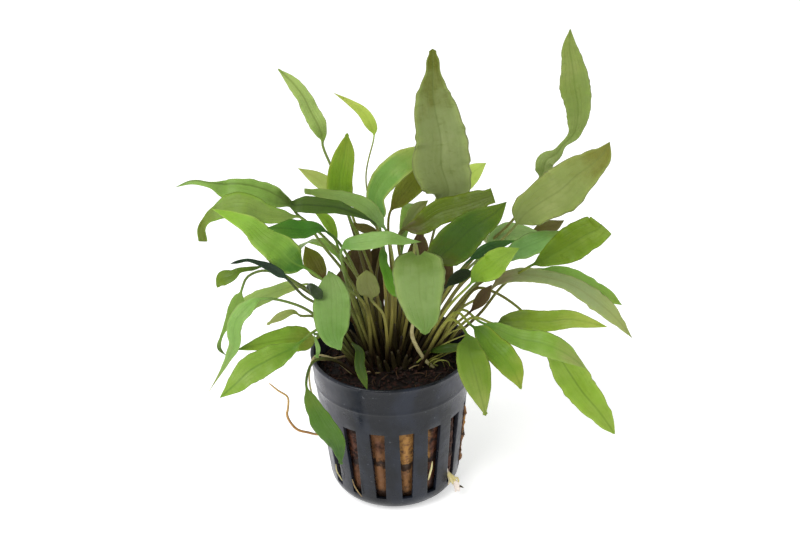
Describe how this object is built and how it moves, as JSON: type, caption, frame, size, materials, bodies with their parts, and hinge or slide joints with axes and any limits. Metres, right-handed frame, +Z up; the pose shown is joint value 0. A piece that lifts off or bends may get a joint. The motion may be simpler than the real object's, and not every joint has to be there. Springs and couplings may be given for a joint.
{
  "type": "potted cryptocoryne",
  "caption": "Small bushy water plant with narrow stalked leaves, growing from dark substrate in a round black slotted net pot that stands on its flat base.",
  "frame": {"origin": "middle of the pot's flat base, on the surface that the pot stands on", "axes": "+Z up, -Y towards the front of the plant as pictured, +X to the right seen from the front"},
  "size_m": [0.1363, 0.0943, 0.143],
  "materials": {
    "pot_plastic": "satin dark charcoal moulded plastic",
    "substrate": "wet dark brown fibrous growing medium",
    "root": "matt tan root",
    "leaf_green": "satin mid green leaf",
    "leaf_bright": "satin bright green leaf",
    "leaf_olive": "satin olive leaf",
    "leaf_dark": "glossy dark green leaf",
    "leaf_deep": "satin black-green leaf",
    "leaf_pale": "soft pale green leaf",
    "leaf_teal": "satin cool green leaf",
    "leaf_grey": "dull grey-green leaf",
    "leaf_yellow": "thin yellow-green leaf",
    "leaf_brown": "brown wilting leaf"
  },
  "bodies": {
    "root": {"pot": "pot_plastic", "substrate": "substrate", "side_root": "root", "root_tuft": "root", "leaf_heart_front": "leaf_pale", "leaf_pale_front_left": "leaf_pale", "leaf_rim_left": "leaf_dark", "leaf_rim_small": "leaf_dark", "leaf_right_hanging": "leaf_green", "leaf_right_second": "leaf_olive", "leaf_right_low": "leaf_green", "leaf_right_lowest": "leaf_green", "leaf_right_level": "leaf_olive", "leaf_right_long_arch": "leaf_grey", "leaf_right_arch_back": "leaf_green", "leaf_right_big_green": "leaf_olive", "leaf_right_teal": "leaf_teal", "leaf_right_bright": "leaf_bright", "leaf_right_deep": "leaf_deep", "leaf_right_dark": "leaf_dark", "leaf_dark_centre": "leaf_dark", "leaf_olive_centre": "leaf_olive", "leaf_grey_centre": "leaf_grey", "leaf_tall_centre": "leaf_grey", "leaf_left_of_centre": "leaf_teal", "leaf_olive_behind": "leaf_olive", "leaf_tall_right_twisted": "leaf_grey", "leaf_right_broad": "leaf_grey", "leaf_brown_behind_right": "leaf_brown", "leaf_pale_behind_right": "leaf_teal", "leaf_yellow_behind": "leaf_yellow", "leaf_upright_left": "leaf_bright", "leaf_small_behind_left": "leaf_grey", "leaf_tall_left": "leaf_green", "leaf_small_high_left": "leaf_yellow", "leaf_grey_upper": "leaf_teal", "leaf_grey_lower": "leaf_dark", "leaf_left_long": "leaf_green", "leaf_left_curled": "leaf_grey", "leaf_left_bright": "leaf_bright", "leaf_left_deep": "leaf_dark", "leaf_olive_left": "leaf_olive", "leaf_grey_crossing": "leaf_teal", "leaf_small_round": "leaf_grey", "leaf_thin_bright": "leaf_bright", "leaf_brown_behind": "leaf_brown", "leaf_far_left_edge": "leaf_deep", "leaf_far_left_small": "leaf_green", "leaf_left_droop_back": "leaf_teal", "leaf_left_pale": "leaf_green", "leaf_left_long_droop": "leaf_teal", "leaf_left_tiny": "leaf_olive", "leaf_low_left_back": "leaf_olive", "leaf_low_left_front": "leaf_green", "leaf_brown_right": "leaf_brown", "leaf_light_left": "leaf_yellow", "leaf_back_arching": "leaf_green", "leaf_back_left_droop": "leaf_green", "leaf_back_right_droop": "leaf_dark", "leaf_back_low": "leaf_dark"}
  },
  "joints": []
}
